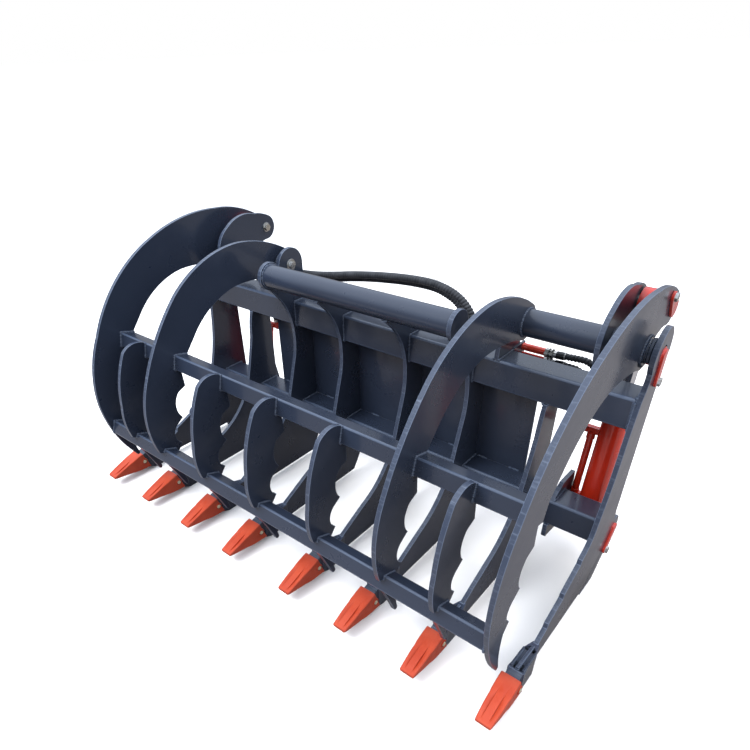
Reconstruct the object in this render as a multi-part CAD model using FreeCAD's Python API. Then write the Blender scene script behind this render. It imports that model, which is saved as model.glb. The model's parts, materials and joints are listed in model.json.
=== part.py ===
import FreeCAD, Part
import math
import os

# Grapple for a wheel loader: a rear frame with eight toothed tines, and a curved upper jaw on a
# cross pivot, worked by two hydraulic cylinders. Millimetres. While it is modelled, X runs along
# the width, Y to the rear and Z up, with Y = 0 at the front of the frame beams; the finished
# pieces are moved so that the ground under the middle of the grapple is the origin.

V = FreeCAD.Vector
os.makedirs("parts", exist_ok=True)

# Plates and running gaps
plate = 16.0                 # thickness of every cut plate
seat = 0.3                   # gap round a welded or clamped round piece
running = 0.08               # radial gap of a pin in its bush
side_gap = 1.0               # gap between faces that turn past each other

# Frame
tine_places = (160.0, 429.0, 710.0, 980.0)   # plate middles, out from the centre line
frame_beam = 105.0           # square tube of both frame beams
frame_beam_wall = 8.0
lower_beam_z = 180.0         # underside of the lower beam
top_beam_z = 645.0           # underside of the top beam
side_rear_y = 135.0          # rear edge of the side plates
tine_under = -14.0           # underside of the tine plates
ground = -32.0               # what the adapters and the side plates' heels stand on
heel_front_y = -45.0
panel = 8.0                  # back panel sheet
panel_half_width = 645.0
guard_y = -115.0             # guard tube in front of the pivot
guard_z = 885.0
guard_radius = 44.0
guard_wall = 6.0
guard_head_radius = 53.0     # round ends of the two outer ribs that cap the tube
cylinder_lug_place = tine_places[-1] - 182.0   # inner lug of each cylinder's lower pin
loader_ear_places = (250.0, 330.0)
loader_pin_radius = 25.0
loader_pin_y = 288.0         # far enough back for a pin to pass behind both cylinders
loader_lower_z = 235.0
loader_upper_z = 600.0
loader_ear_radius = 40.0
loader_ear_waist = 40.0      # hollow of the ears' rear edge between the pins

# Jaw
pivot_y = 85.0
pivot_z = 864.0
arm_to_side = 47.0           # outer long arms to the side plates, middle to middle
arm_place = tine_places[-1] - arm_to_side
inner_arm_place = 561.0
jaw_lug_place = arm_place - 95.0
rib_places = (-755.0, -287.0, 0.0, 287.0, 755.0)
jaw_beam = 60.0
jaw_beam_wall = 6.0
upper_jaw_beam = (-529.0, 671.0)    # front top corner, then tilt about X
upper_jaw_tilt = 14.0
lower_jaw_beam = (-670.0, 311.0)
lower_jaw_tilt = 21.5
lower_jaw_size = 56.0
arm_eye_radius = 60.0
pivot_tube_radius = 44.5
pivot_tube_bore = 33.0
pivot_tube_proud = 12.0
pivot_boss_radius = 36.0     # bush and boss between the outer arm and the side plate
pivot_tube_inset = 5.0       # tube beyond the arm's face, behind the bush
pivot_ear_place = 518.0
pivot_ear_radius = 70.0
pin_radius = 25.0
bush_length = 70.0

# Cylinders
rod_pin_y = 255.0
rod_pin_z = 940.0
rod_pin_radius = 20.0
rod_end_radius = 52.0        # rounded rear end of the outer arms and their lugs
cylinder_pin_y = 165.0
cylinder_pin_z = 150.0
cylinder_pin_radius = 22.0
cylinder_ear_radius = 50.0
barrel_radius = 42.0
barrel_bore = 35.0
barrel_length = 500.0        # lower pin to the gland's face
gland_radius = 46.0
gland_length = 30.0
rod_radius = 20.0
eye_width = 70.0
eye_radius = 46.0
open_eye_gap = 11.5          # the linkage is open here, so the rod's eye has room round its pin

# Teeth
nose_y = -440.0              # front end of the tine plates
tooth_base_y = -580.0
tooth_cheek_y = -552.0       # the tooth's lower corners reach further back than its top
tooth_tip_y = -735.0
tooth_width = 66.0
tooth_tip_width = 52.0
tooth_top_z = 74.0
tooth_bottom_z = -16.0
tooth_tip_z = 26.0
tooth_tip_height = 12.0
socket_gap = 0.6


def at(y, z, x=0.0):
    return V(x, y, z)


def outline(start, steps):
    """Face in the YZ plane. A step is a point for a line, or a middle and an end for an arc."""
    edges = []
    here = start
    for step in list(steps) + [start]:
        if isinstance(step[0], tuple):
            middle, end = step
            edges.append(Part.Arc(at(*here), at(*middle), at(*end)).toShape())
        else:
            end = step
            if math.dist(here, end) > 0.001:
                edges.append(Part.LineSegment(at(*here), at(*end)).toShape())
        here = end
    return Part.Face(Part.Wire(edges))


def cut_plate(face, middle_x, thickness=plate):
    solid = face.extrude(V(thickness, 0, 0))
    solid.translate(V(middle_x - thickness / 2, 0, 0))
    return solid


def disc(centre, radius, x_from, x_to):
    return Part.makeCylinder(radius, x_to - x_from, at(*centre, x_from), V(1, 0, 0))


def ring(centre, radius, bore, x_from, x_to):
    return disc(centre, radius, x_from, x_to).cut(disc(centre, bore, x_from, x_to))


def link(first, first_radius, second, second_radius):
    """Face round two circles and their common tangents."""
    dy, dz = second[0] - first[0], second[1] - first[1]
    apart = math.hypot(dy, dz)
    along = math.atan2(dz, dy)
    lean = math.acos((first_radius - second_radius) / apart)

    def on(centre, radius, angle):
        return (centre[0] + radius * math.cos(angle), centre[1] + radius * math.sin(angle))

    steps = [on(second, second_radius, along + lean),
             (on(second, second_radius, along), on(second, second_radius, along - lean)),
             on(first, first_radius, along - lean),
             (on(first, first_radius, along + math.pi), on(first, first_radius, along + lean))]
    return outline(on(first, first_radius, along + lean), steps)


def joined(shapes):
    return shapes[0].multiFuse(shapes[1:]).removeSplitter()


def mirrored(shape):
    return shape.mirror(V(0, 0, 0), V(1, 0, 0))


def tilted_corners(corner, size, tilt):
    """Corners of a square tube from its front top corner: front top, front bottom, rear bottom, rear top."""
    s, c = math.sin(math.radians(tilt)), math.cos(math.radians(tilt))
    y, z = corner
    front_bottom = (y - size * s, z - size * c)
    rear_top = (y + size * c, z - size * s)
    rear_bottom = (rear_top[0] - size * s, rear_top[1] - size * c)
    return corner, front_bottom, rear_bottom, rear_top


def along(start, end, distance):
    length = math.dist(start, end)
    return tuple(a + (b - a) * distance / length for a, b in zip(start, end))


def square_tube(corners, wall, half_length):
    outer = outline(corners[0], corners[1:])
    centre = [sum(c[i] for c in corners) / 4 for i in (0, 1)]
    size = math.dist(corners[0], corners[1])
    share = (size - 2 * wall) / size
    bore = [tuple(centre[i] + (c[i] - centre[i]) * share for i in (0, 1)) for c in corners]
    tube = outer.extrude(V(2 * half_length, 0, 0)).cut(outline(bore[0], bore[1:]).extrude(V(2 * half_length, 0, 0)))
    tube.translate(V(-half_length, 0, 0))
    return tube


pivot = (pivot_y, pivot_z)
rod_pin = (rod_pin_y, rod_pin_z)
cylinder_pin = (cylinder_pin_y, cylinder_pin_z)
guard = (guard_y, guard_z)
half_plate = plate / 2
lower_beam_top = lower_beam_z + frame_beam
top_beam_top = top_beam_z + frame_beam
side_inner = tine_places[3] - half_plate
side_outer = tine_places[3] + half_plate
arm_inner = arm_place - half_plate
arm_outer = arm_place + half_plate
cylinder_x = (arm_inner + jaw_lug_place + half_plate) / 2

# Edge of every tine, from its nose up the load side to the lower end of the throat
throat_foot = (-76.0, 329.0)
throat = ((-15.0, 545.0), (-22.0, 670.0))     # middle and top of the curved throat


def tine_underside(rear_top):
    return [(40.0, tine_under), (frame_beam, 85.0), rear_top]


def load_edge():
    return [((-47.0, 425.0), throat_foot), ((-150.0, 212.0), (-275.0, 128.0)), (nose_y, 46.0)]


def plain_tine():
    """Tine behind the jaw's outer bays: it ends under the top beam."""
    steps = tine_underside((frame_beam, lower_beam_z))
    steps += [(0.0, lower_beam_z), (0.0, lower_beam_top), (frame_beam, lower_beam_top),
              (frame_beam, top_beam_z), (0.0, top_beam_z), ((-13.0, 590.0), (-20.0, 530.0))]
    steps += load_edge()
    return outline((nose_y, tine_under), steps)


def ribbed_tine(head):
    """Tine with a neck over the top beam that carries the guard tube."""
    panel_face = frame_beam - panel
    neck_front = (guard_y - 26.0, guard_z - 42.0)
    neck_rear = (guard_y + 40.0, guard_z + 18.0)
    steps = tine_underside((frame_beam, lower_beam_z))
    steps += [(0.0, lower_beam_z), (0.0, lower_beam_top), (panel_face, lower_beam_top),
              (panel_face, top_beam_z), (0.0, top_beam_z), (0.0, top_beam_top), (70.0, top_beam_top),
              neck_rear, guard, neck_front, ((-44.0, 735.0), (-14.0, 640.0)),
              ((-11.0, 575.0), (-20.0, 510.0))]
    steps += load_edge()
    return outline((nose_y, tine_under), steps)


def side_steps():
    """Load edge of a side plate: three grip steps, each a ramp and a drop."""
    grips = ((-150.0, 213.0), (-255.0, 141.0), (-352.0, 86.0))
    drop = 13.0
    steps = [((-47.0, 425.0), throat_foot), ((-98.0, 268.0), (grips[0][0], grips[0][1] + drop))]
    for here, after in zip(grips, grips[1:] + ((nose_y, 46.0),)):
        steps.append((here[0] - drop * 0.5, here[1] - drop * 0.4))
        steps.append((after[0], after[1] + (drop if after[0] > nose_y else 0.0)))
    return steps


def side_plate_face():
    steps = [(heel_front_y, tine_under), (heel_front_y, ground), (64.0, ground), (82.0, ground + 16.0),
             (cylinder_pin_y + 24.0, cylinder_pin_z - 44.0), (side_rear_y, 250.0),
             (side_rear_y, 730.0), (pivot_y + pivot_ear_radius, pivot_z), (pivot_y - 55.0, pivot_z),
             (28.0, 800.0), (2.0, 740.0), ((-18.0, 620.0), (-24.0, 560.0))]
    steps += side_steps()
    return outline((nose_y, tine_under), steps)


def box_loft(sections):
    """Solid through rectangles across X: each is y, half width, bottom z, top z."""
    wires = []
    for y, half, low, high in sections:
        corners = [V(-half, y, low), V(half, y, low), V(half, y, high), V(-half, y, high)]
        wires.append(Part.makePolygon(corners + corners[:1]))
    return Part.makeLoft(wires, True, True)


adapter_half = 24.0
tooth_wall = 10.0
nose_half = tooth_width / 2 - tooth_wall
nose_low = tooth_bottom_z + tooth_wall
nose_high = tooth_top_z - tooth_wall
nose_tip_y = tooth_tip_y + 60.0
nose_depth = 26.0            # parallel part of the socket behind its taper


def nose(gap):
    back = tooth_base_y - nose_depth
    neck = box_loft([(tooth_cheek_y + 1.0, nose_half + gap, nose_low - gap, nose_high + gap),
                     (back, nose_half + gap, nose_low - gap, nose_high + gap)])
    wedge = box_loft([(back, nose_half + gap, nose_low - gap, nose_high + gap),
                      (nose_tip_y - gap, nose_half * 0.6 + gap, tooth_tip_z - 8.0 - gap,
                       tooth_tip_z + 6.0 + gap)])
    return neck.fuse(wedge)


def adapter():
    """Cast nose piece welded over the tine's end, with three ridges on top."""
    front_y = tooth_cheek_y + socket_gap
    body = box_loft([(nose_y + 34.0, half_plate + 3.0, ground + 8.0, 56.0),
                     (nose_y - 20.0, adapter_half, ground, 66.0),
                     (nose_y - 80.0, adapter_half, ground, 70.0),
                     (front_y, adapter_half + 4.0, tooth_bottom_z, 71.0)])
    saddle = box_loft([(front_y + 1.0, nose_half, nose_low, nose_high + 6.0),
                       (tooth_base_y + socket_gap, nose_half, nose_low, nose_high - 1.0)])
    ridges = [box_loft([(nose_y + 10.0, 4.0, 52.0, 64.0), (front_y + 6.0, 5.0, 66.0, 80.0)])]
    for side in (-1, 1):
        ridge = box_loft([(nose_y - 16.0, 3.0, 56.0, 72.0), (front_y + 6.0, 3.5, 66.0, 79.0)])
        ridge.translate(V(side * (adapter_half - 4.0), 0, 0))
        ridges.append(ridge)
    return joined([body, saddle, nose(0.0)] + ridges)


def side_profile(points, half):
    face = outline(points[0], points[1:])
    solid = face.extrude(V(2 * half, 0, 0))
    solid.translate(V(-half, 0, 0))
    return solid


def tooth(x):
    """Bucket tooth: a hollow wedge over the nose, tapered in plan, with an ear each side."""
    side = side_profile([(tooth_base_y, tooth_top_z), (tooth_tip_y + 3.0, tooth_tip_z + 2.0),
                         (tooth_tip_y, tooth_tip_z - tooth_tip_height),
                         (tooth_tip_y + 40.0, tooth_tip_z - tooth_tip_height - 8.0),
                         (tooth_cheek_y, tooth_bottom_z)], tooth_width)
    mid_y = (tooth_base_y + tooth_tip_y) / 2
    half, tip_half = tooth_width / 2, tooth_tip_width / 2
    plan = [(tooth_cheek_y, half), (mid_y + 16.0, half - 4.0), (mid_y, half - 1.0), (tooth_tip_y, tip_half)]
    corners = [V(w, y, 0) for y, w in plan] + [V(-w, y, 0) for y, w in reversed(plan)]
    taper = Part.Face(Part.makePolygon(corners + corners[:1])).extrude(V(0, 0, 200))
    taper.translate(V(0, 0, -100))
    shell = side.common(taper)
    pin_y, pin_z = tooth_base_y + 8.0, 30.0
    shell = shell.fuse(disc((pin_y, pin_z), 13.0, -half - 3.0, half + 3.0))
    groove = box_loft([(tooth_base_y - 46.0, 3.5, 44.0, 90.0), (tooth_tip_y + 26.0, 3.5, 35.0, 80.0)])
    for place in (-15.0, 15.0):
        cut = groove.copy()
        cut.translate(V(place, 0, 0))
        shell = shell.cut(cut)
    shell = shell.cut(nose(socket_gap))
    shell.translate(V(x, 0, 0))
    return shell


def with_adapter(solid, x):
    piece = adapter()
    piece.translate(V(x, 0, 0))
    return joined([solid, piece])


def inner_tine(x):
    ribbed = abs(x) < tine_places[2] - 1
    end_rib = abs(abs(x) - tine_places[1]) < 1
    face = ribbed_tine(end_rib) if ribbed else plain_tine()
    solid = cut_plate(face, x)
    if end_rib:
        solid = solid.fuse(disc(guard, guard_head_radius, x - half_plate, x + half_plate))
    elif ribbed:
        solid = solid.cut(disc(guard, guard_radius + seat, x - plate, x + plate))
    return with_adapter(solid, x)


def side_plate(x):
    solid = cut_plate(side_plate_face(), x)
    ears = [disc(pivot, pivot_ear_radius, x - half_plate, x + half_plate),
            disc(cylinder_pin, cylinder_ear_radius, x - half_plate, x + half_plate)]
    boss_from = arm_outer + pivot_tube_proud + side_gap
    inward = disc(pivot, pivot_boss_radius, boss_from, side_inner)
    groove = ring(pivot, pivot_boss_radius + 1, pivot_boss_radius - 4, side_inner - 9, side_inner - 5)
    pad = disc(cylinder_pin, cylinder_ear_radius - 6, cylinder_x + eye_width / 2 + side_gap, side_inner)
    if x < 0:
        inward, groove, pad = mirrored(inward), mirrored(groove), mirrored(pad)
    solid = joined([solid, inward.cut(groove), pad] + ears)
    reach = side_outer + 50
    solid = solid.cut(disc(pivot, pin_radius + seat, -reach, reach))
    solid = solid.cut(disc(cylinder_pin, cylinder_pin_radius + seat, -reach, reach))
    return with_adapter(solid, x)


def frame_beams():
    half = side_inner
    nodes = {}
    for name, low in (("top_beam", top_beam_z), ("lower_beam", lower_beam_z)):
        corners = ((0.0, low + frame_beam), (0.0, low), (frame_beam, low), (frame_beam, low + frame_beam))
        nodes[name] = square_tube(corners, frame_beam_wall, half)
    return nodes


def back_panel():
    sheet = Part.makeBox(2 * panel_half_width, panel, top_beam_z - lower_beam_top)
    sheet.translate(V(-panel_half_width, frame_beam - panel, lower_beam_top))
    return sheet


def guard_tube():
    half = tine_places[1] - half_plate
    return ring(guard, guard_radius, guard_radius - guard_wall, -half, half)


def pivot_ear():
    """Frame ear beside the inner arm, standing on the top beam and hooked over its rear edge."""
    front, rear = pivot_y - pivot_ear_radius, pivot_y + pivot_ear_radius
    face = outline((front, pivot_z), [(front - 15.0, top_beam_top), (frame_beam, top_beam_top),
                                      (frame_beam, top_beam_z + 20.0), (rear - 20.0, top_beam_z + 20.0),
                                      (rear, top_beam_z + 60.0), (rear, pivot_z)])
    inner, outer = pivot_ear_place - half_plate, pivot_ear_place + half_plate
    boss_to = inner_arm_place - half_plate - pivot_tube_proud - side_gap
    solid = joined([cut_plate(face, pivot_ear_place), disc(pivot, pivot_ear_radius, inner, outer),
                    disc(pivot, pivot_boss_radius, outer, boss_to)])
    return solid.cut(disc(pivot, pin_radius + seat, inner - 5, boss_to + 5))


def cylinder_lug():
    """Inner lug of the cylinder's lower pin, let in round the lower beam."""
    toe_z = lower_beam_z - 58.0
    face = outline((-6.0, toe_z + 8.0), [((-1.0, toe_z + 1.0), (8.0, toe_z)), (cylinder_pin_y, cylinder_pin_z - 48.0),
                                         (cylinder_pin_y + 44.0, cylinder_pin_z + 20.0),
                                         (cylinder_pin_y + 10.0, lower_beam_top + 38.0),
                                         (frame_beam - 30.0, lower_beam_top + 42.0), (4.0, lower_beam_top),
                                         (frame_beam, lower_beam_top), (frame_beam, lower_beam_z),
                                         (-6.0, lower_beam_z)])
    inner, outer = cylinder_lug_place - half_plate, cylinder_lug_place + half_plate
    pad_to = cylinder_x - eye_width / 2 - side_gap
    solid = joined([cut_plate(face, cylinder_lug_place), disc(cylinder_pin, cylinder_ear_radius, inner, outer),
                    disc(cylinder_pin, cylinder_ear_radius - 6, outer, pad_to)])
    return solid.cut(disc(cylinder_pin, cylinder_pin_radius + seat, inner - 5, pad_to + 5))


def loader_ear(x):
    """Rear ear for the loader's pins: lower arm pin and upper tilt pin."""
    lower, upper = (loader_pin_y, loader_lower_z), (loader_pin_y, loader_upper_z)
    middle_z = (loader_lower_z + loader_upper_z) / 2
    rear = loader_pin_y + loader_ear_radius
    face = outline((frame_beam, lower_beam_z), [(loader_pin_y, loader_lower_z - loader_ear_radius),
                                                (rear, loader_lower_z),
                                                (loader_pin_y - loader_ear_waist, middle_z),
                                                (rear, loader_upper_z),
                                                (loader_pin_y, loader_upper_z + loader_ear_radius),
                                                (frame_beam, top_beam_top)])
    inner, outer = x - half_plate, x + half_plate
    solid = joined([cut_plate(face, x)] + [disc(c, loader_ear_radius, inner, outer) for c in (lower, upper)])
    for centre in (lower, upper):
        solid = solid.cut(disc(centre, loader_pin_radius, inner - 5, outer + 5))
    return solid


upper_corners = tilted_corners(upper_jaw_beam, jaw_beam, upper_jaw_tilt)
lower_corners = tilted_corners(lower_jaw_beam, lower_jaw_size, lower_jaw_tilt)
wrap = 16.0                  # how far the plates reach down the lower beam's front face
proud = 18.0
toe_back = [(-610.0, 268.0), ((-612.0, 190.0), (-598.0, 108.0)), ((-603.0, 99.0), (-614.0, 106.0))]


def grip_edge(start):
    """Rear edge of every jaw plate: three scallops, each ending in a grip tooth."""
    return [start, (-511.0, 533.0), (-548.0, 518.0), ((-572.0, 458.0), (-553.0, 408.0)),
            (-589.0, 384.0), ((-606.0, 334.0), (-583.0, 300.0))]


def rib_start():
    front_top, front_bottom, rear_bottom, rear_top = upper_corners
    return along(front_bottom, rear_bottom, jaw_beam * 0.5)


def plate_foot():
    """Toe behind the lower beam, and the open slot that takes the beam and hooks over its front."""
    front_top, front_bottom, rear_bottom, rear_top = lower_corners
    hook = along(front_top, front_bottom, wrap)
    toward_front = along(front_top, rear_top, -proud)
    hook_front = (hook[0] + toward_front[0] - front_top[0], hook[1] + toward_front[1] - front_top[1])
    return toe_back + [((-640.0, 168.0), along(front_bottom, rear_bottom, 12.0)), rear_bottom,
                       rear_top, front_top, hook, hook_front]


def jaw_rib_face():
    front_top, front_bottom, rear_bottom, rear_top = upper_corners
    steps = [front_bottom] + grip_edge(rib_start()) + plate_foot()
    steps += [((-706.0, 375.0), (-699.0, 450.0)), ((-680.0, 552.0), (-632.0, 661.0)),
              ((-588.0, 684.0), front_top)]
    return outline(front_top, steps)


arm_inner_edge = [((-50.0, 836.0), (-176.0, 842.0)), ((-330.0, 790.0), (-425.0, 708.0))]


def inner_arm_face():
    front_top, front_bottom, rear_bottom, rear_top = upper_corners
    under_eye = (pivot_y, pivot_z - arm_eye_radius)
    steps = arm_inner_edge + [rear_top, front_top, front_bottom] + grip_edge(rib_start()) + plate_foot()
    steps += [((-713.0, 440.0), (-682.0, 580.0)), ((-600.0, 732.0), (-470.0, 884.0)),
              ((-310.0, 974.0), (-150.0, 999.0)), ((0.0, 970.0), (pivot_y + 28.0, pivot_z + 53.0)),
              pivot]
    return outline(under_eye, steps)


def outer_arm_face():
    front_top, front_bottom, rear_bottom, rear_top = upper_corners
    under_eye = (pivot_y, pivot_z - arm_eye_radius)
    steps = arm_inner_edge + [rear_top, rear_bottom] + grip_edge(rib_start())
    steps += toe_back
    steps += [((-684.0, 248.0), (-712.0, 400.0)), ((-692.0, 548.0), (-632.0, 682.0)),
              ((-487.0, 872.0), (-290.0, 994.0)), ((-120.0, 1042.0), (60.0, 1046.0)),
              ((165.0, 1031.0), (rod_pin_y + 27.0, rod_pin_z + 44.0)), rod_pin,
              (rod_pin_y, rod_pin_z - rod_end_radius), ((195.0, 893.0), (pivot_y + 56.0, pivot_z + 14.0)),
              pivot]
    return outline(under_eye, steps)


def eye_discs(x):
    return disc(pivot, arm_eye_radius, x - half_plate, x + half_plate)


def long_arm(x):
    outer = abs(x) > inner_arm_place + 1
    discs = [eye_discs(x)]
    if outer:
        discs.append(disc(rod_pin, rod_end_radius, x - half_plate, x + half_plate))
    solid = joined([cut_plate(outer_arm_face() if outer else inner_arm_face(), x)] + discs)
    solid = solid.cut(disc(pivot, pivot_tube_radius + seat, x - plate, x + plate))
    if outer:
        solid = solid.cut(disc(rod_pin, rod_pin_radius + seat, x - plate, x + plate))
    return solid


def jaw_lug(x):
    """Crescent lug that holds the inner end of the rod pin."""
    face = outline((20.0, 792.0), [((-28.0, 888.0), (30.0, 980.0)), ((105.0, 1014.0), (195.0, 1008.0)),
                                   ((245.0, 1000.0), (rod_pin_y + 27.0, rod_pin_z + 44.0)), rod_pin,
                                   (rod_pin_y, rod_pin_z - rod_end_radius),
                                   ((200.0, 872.0), (150.0, 812.0)), ((90.0, 778.0), (20.0, 792.0))])
    solid = joined([cut_plate(face, x), disc(rod_pin, rod_end_radius, x - half_plate, x + half_plate)])
    solid = solid.cut(disc(pivot, pivot_tube_radius + seat, x - plate, x + plate))
    return solid.cut(disc(rod_pin, rod_pin_radius + seat, x - plate, x + plate))


def pivot_tube():
    """Hinge tube welded through an outer and an inner arm, bored for a pin at each end."""
    start = inner_arm_place - half_plate - pivot_tube_inset
    end = arm_outer + pivot_tube_inset
    bore = pin_radius + running
    tube = ring(pivot, pivot_tube_radius, pivot_tube_bore, start, end)
    inner_end = inner_arm_place - half_plate - pivot_tube_proud
    outer_end = arm_outer + pivot_tube_proud
    bushes = [ring(pivot, pivot_boss_radius, bore, inner_end, inner_end + bush_length),
              ring(pivot, pivot_boss_radius, bore, outer_end - bush_length, outer_end)]
    return joined([tube] + bushes)


def jaw_beams():
    half = arm_inner
    return {"jaw_upper_beam": square_tube(upper_corners, jaw_beam_wall, half),
            "jaw_lower_beam": square_tube(lower_corners, jaw_beam_wall, half)}


bolt_head = 9.0
flag_plate = 8.0
rod_flag_stand_off = 6.0     # the side plates' keepers lie flat on the plate


def hexagon(centre, across, x_from, x_to):
    radius = across / math.sqrt(3)
    points = [(centre[0] + radius * math.cos(math.radians(60 * i)),
               centre[1] + radius * math.sin(math.radians(60 * i))) for i in range(6)]
    head = outline(points[0], points[1:]).extrude(V(x_to - x_from, 0, 0))
    head.translate(V(x_from, 0, 0))
    return head


def flag_pin(centre, radius, x_inner, x_face, stand_off, flag_end, wide, narrow):
    """Pin with a leaf-shaped keeper on its outer end, bolted to the plate at x_face."""
    flag_from = x_face + stand_off
    flag_to = flag_from + flag_plate
    keeper = link(centre, wide, flag_end, narrow).extrude(V(flag_plate, 0, 0))
    keeper.translate(V(flag_from, 0, 0))
    pieces = [disc(centre, radius, x_inner, flag_from + 1), keeper,
              hexagon(flag_end, 24.0, flag_to - 1, flag_to + bolt_head)]
    if stand_off > 0:
        pieces.append(disc(flag_end, 9.0, x_face, flag_from + 1))
    return joined(pieces)


def end_nut(centre, x_from):
    return hexagon(centre, 28.0, x_from - 10.0, x_from + 1.0)


def pins():
    """Right-hand pins; the left ones are their mirror images."""
    ear_inner = pivot_ear_place - half_plate
    pad_inner = cylinder_lug_place - half_plate
    lug_inner = jaw_lug_place - half_plate
    tube_end = arm_outer + pivot_tube_proud
    tube_start = inner_arm_place - half_plate - pivot_tube_proud
    outer = flag_pin(pivot, pin_radius, tube_end - bush_length, side_outer, 0.0,
                     (pivot_y + 4.0, pivot_z - 84.0), 20.0, 17.0)
    inner = joined([disc(pivot, pin_radius, ear_inner - 4.0, tube_start + bush_length),
                    end_nut(pivot, ear_inner - 4.0)])
    rod = flag_pin(rod_pin, rod_pin_radius, lug_inner - 4.0, arm_outer, rod_flag_stand_off,
                   (rod_pin_y - 45.0, rod_pin_z + 48.0), 27.0, 16.0)
    rod = joined([rod, end_nut(rod_pin, lug_inner - 4.0)])
    lower = flag_pin(cylinder_pin, cylinder_pin_radius, pad_inner - 4.0, side_outer, 0.0,
                     (cylinder_pin_y - 46.0, cylinder_pin_z - 70.0), 20.0, 17.0)
    lower = joined([lower, end_nut(cylinder_pin, pad_inner - 4.0)])
    return {"pivot_pin_outer": outer, "pivot_pin_inner": inner, "rod_pin": rod, "cylinder_pin": lower}


cylinder_reach = math.dist(rod_pin, cylinder_pin)
cylinder_lean = math.degrees(math.atan2(rod_pin_y - cylinder_pin_y, rod_pin_z - cylinder_pin_z))


def placed_on_cylinder(shape):
    """Moves a piece drawn along +Z from the origin onto the cylinder's line."""
    shape.rotate(V(0, 0, 0), V(1, 0, 0), -cylinder_lean)
    shape.translate(V(cylinder_x, *cylinder_pin))
    return shape


def upright(radius, z_from, z_to, x=0.0, y=0.0):
    return Part.makeCylinder(radius, z_to - z_from, V(x, y, z_from))


base_plug = 62.0
piston = 40.0
piston_gap = 0.3
rest_stroke = 160.0          # how far the piston stands off the base when the jaw is closed
pipe_radius = 8.5
pipe_out = 65.0              # from the barrel's middle to the slim pipe's middle
low_port = 66.0              # heights along the barrel
middle_port = 345.0
top_port = 405.0
middle_hose_x = 770.0        # places of the hoses that end on the two elbows
top_hose_x = 800.0
port_height = 26.0           # elbow's middle to its face


def port_elbow(x, height):
    """Block on the barrel's side whose socket faces up; returns it where the barrel stands."""
    y = cylinder_pin_y + height * math.sin(math.radians(cylinder_lean))
    z = cylinder_pin_z + height * math.cos(math.radians(cylinder_lean))
    arm = Part.makeCylinder(12.0, cylinder_x - barrel_radius + 4.0 - x, V(x, y, z), V(1, 0, 0))
    knee = Part.makeSphere(14.0, V(x, y, z))
    nut = Part.makeCylinder(13.0, port_height, V(x, y, z), V(0, 0, 1))
    return joined([arm, knee, nut])



def port_face(height):
    lean = math.radians(cylinder_lean)
    return (cylinder_pin_y + height * math.sin(lean),
            cylinder_pin_z + height * math.cos(lean) + port_height)


def barrel():
    tube = upright(barrel_radius, eye_radius, barrel_length - gland_length)
    neck = upright(eye_width / 2 - 1.0, 28.0, eye_radius + 4.0)
    gland = upright(gland_radius, barrel_length - gland_length, barrel_length)
    eye = Part.makeCylinder(eye_radius, eye_width, V(-eye_width / 2, 0, 0), V(1, 0, 0))
    low_block = Part.makeBox(pipe_out - 20.0, 24.0, 24.0, V(-pipe_out - 12.0, -12.0, low_port))
    top_block = Part.makeBox(pipe_out - 12.0, 26.0, 22.0, V(-pipe_out - 22.0, -13.0, middle_port - 11.0))
    pipe = upright(pipe_radius, low_port + 2.0, middle_port, -pipe_out)
    body = placed_on_cylinder(joined([tube, neck, gland, eye, low_block, top_block, pipe]))
    body = joined([body, port_elbow(middle_hose_x, middle_port), port_elbow(top_hose_x, top_port)])
    room = joined([upright(barrel_bore, base_plug, barrel_length - gland_length),
                   upright(rod_radius + running, barrel_length - gland_length - 1, barrel_length + 1),
                   Part.makeCylinder(cylinder_pin_radius + running, eye_width + 2,
                                     V(-eye_width / 2 - 1, 0, 0), V(1, 0, 0))])
    return body.cut(placed_on_cylinder(room))


def rod():
    """Chrome rod with its piston and its eye; the eye's bore is wide, since the linkage is open here."""
    start = base_plug + rest_stroke
    shaft = upright(rod_radius, start, cylinder_reach - 30.0)
    head = upright(barrel_bore - piston_gap, start, start + piston)
    eye = Part.makeCylinder(eye_radius, eye_width, V(-eye_width / 2, 0, cylinder_reach), V(1, 0, 0))
    neck = upright(rod_radius + 8.0, cylinder_reach - 62.0, cylinder_reach - 20.0)
    body = joined([shaft, head, neck, eye])
    hole = Part.makeCylinder(rod_pin_radius + open_eye_gap, eye_width + 2,
                             V(-eye_width / 2 - 1, 0, cylinder_reach), V(1, 0, 0))
    return placed_on_cylinder(body.cut(hole))


# Hydraulic hoses, led behind the top beam from a pair of couplings right of the middle
hose_radius = 9.0
crossover_radius = 13.0      # the long hoses with their wound guard
hose_gap = 0.8               # hose end above a cylinder's port, which swings a little
hose_y = 172.0
coupling_start = 455.0
coupling_end = 645.0
coupling_heights = (740.0, 708.0)


def hose_couplings():
    """Two screwed couplings with their collars, held by one bracket on the rear of the top beam."""
    bracket_x = 545.0
    reach = hose_y + 26.0 - frame_beam
    bracket = Part.makeBox(plate / 2, reach, 92.0, V(bracket_x, frame_beam, coupling_heights[1] - 30.0))
    pieces = [bracket]
    for z in coupling_heights:
        place = (hose_y, z)
        pieces += [disc(place, 9.0, coupling_start, 510.0), disc(place, 14.5, 490.0, 628.0),
                   disc(place, 12.0, 628.0, coupling_end), hexagon(place, 24.0, 630.0, 641.0),
                   hexagon(place, 24.0, 470.0, 486.0)]
    return joined(pieces)


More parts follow.
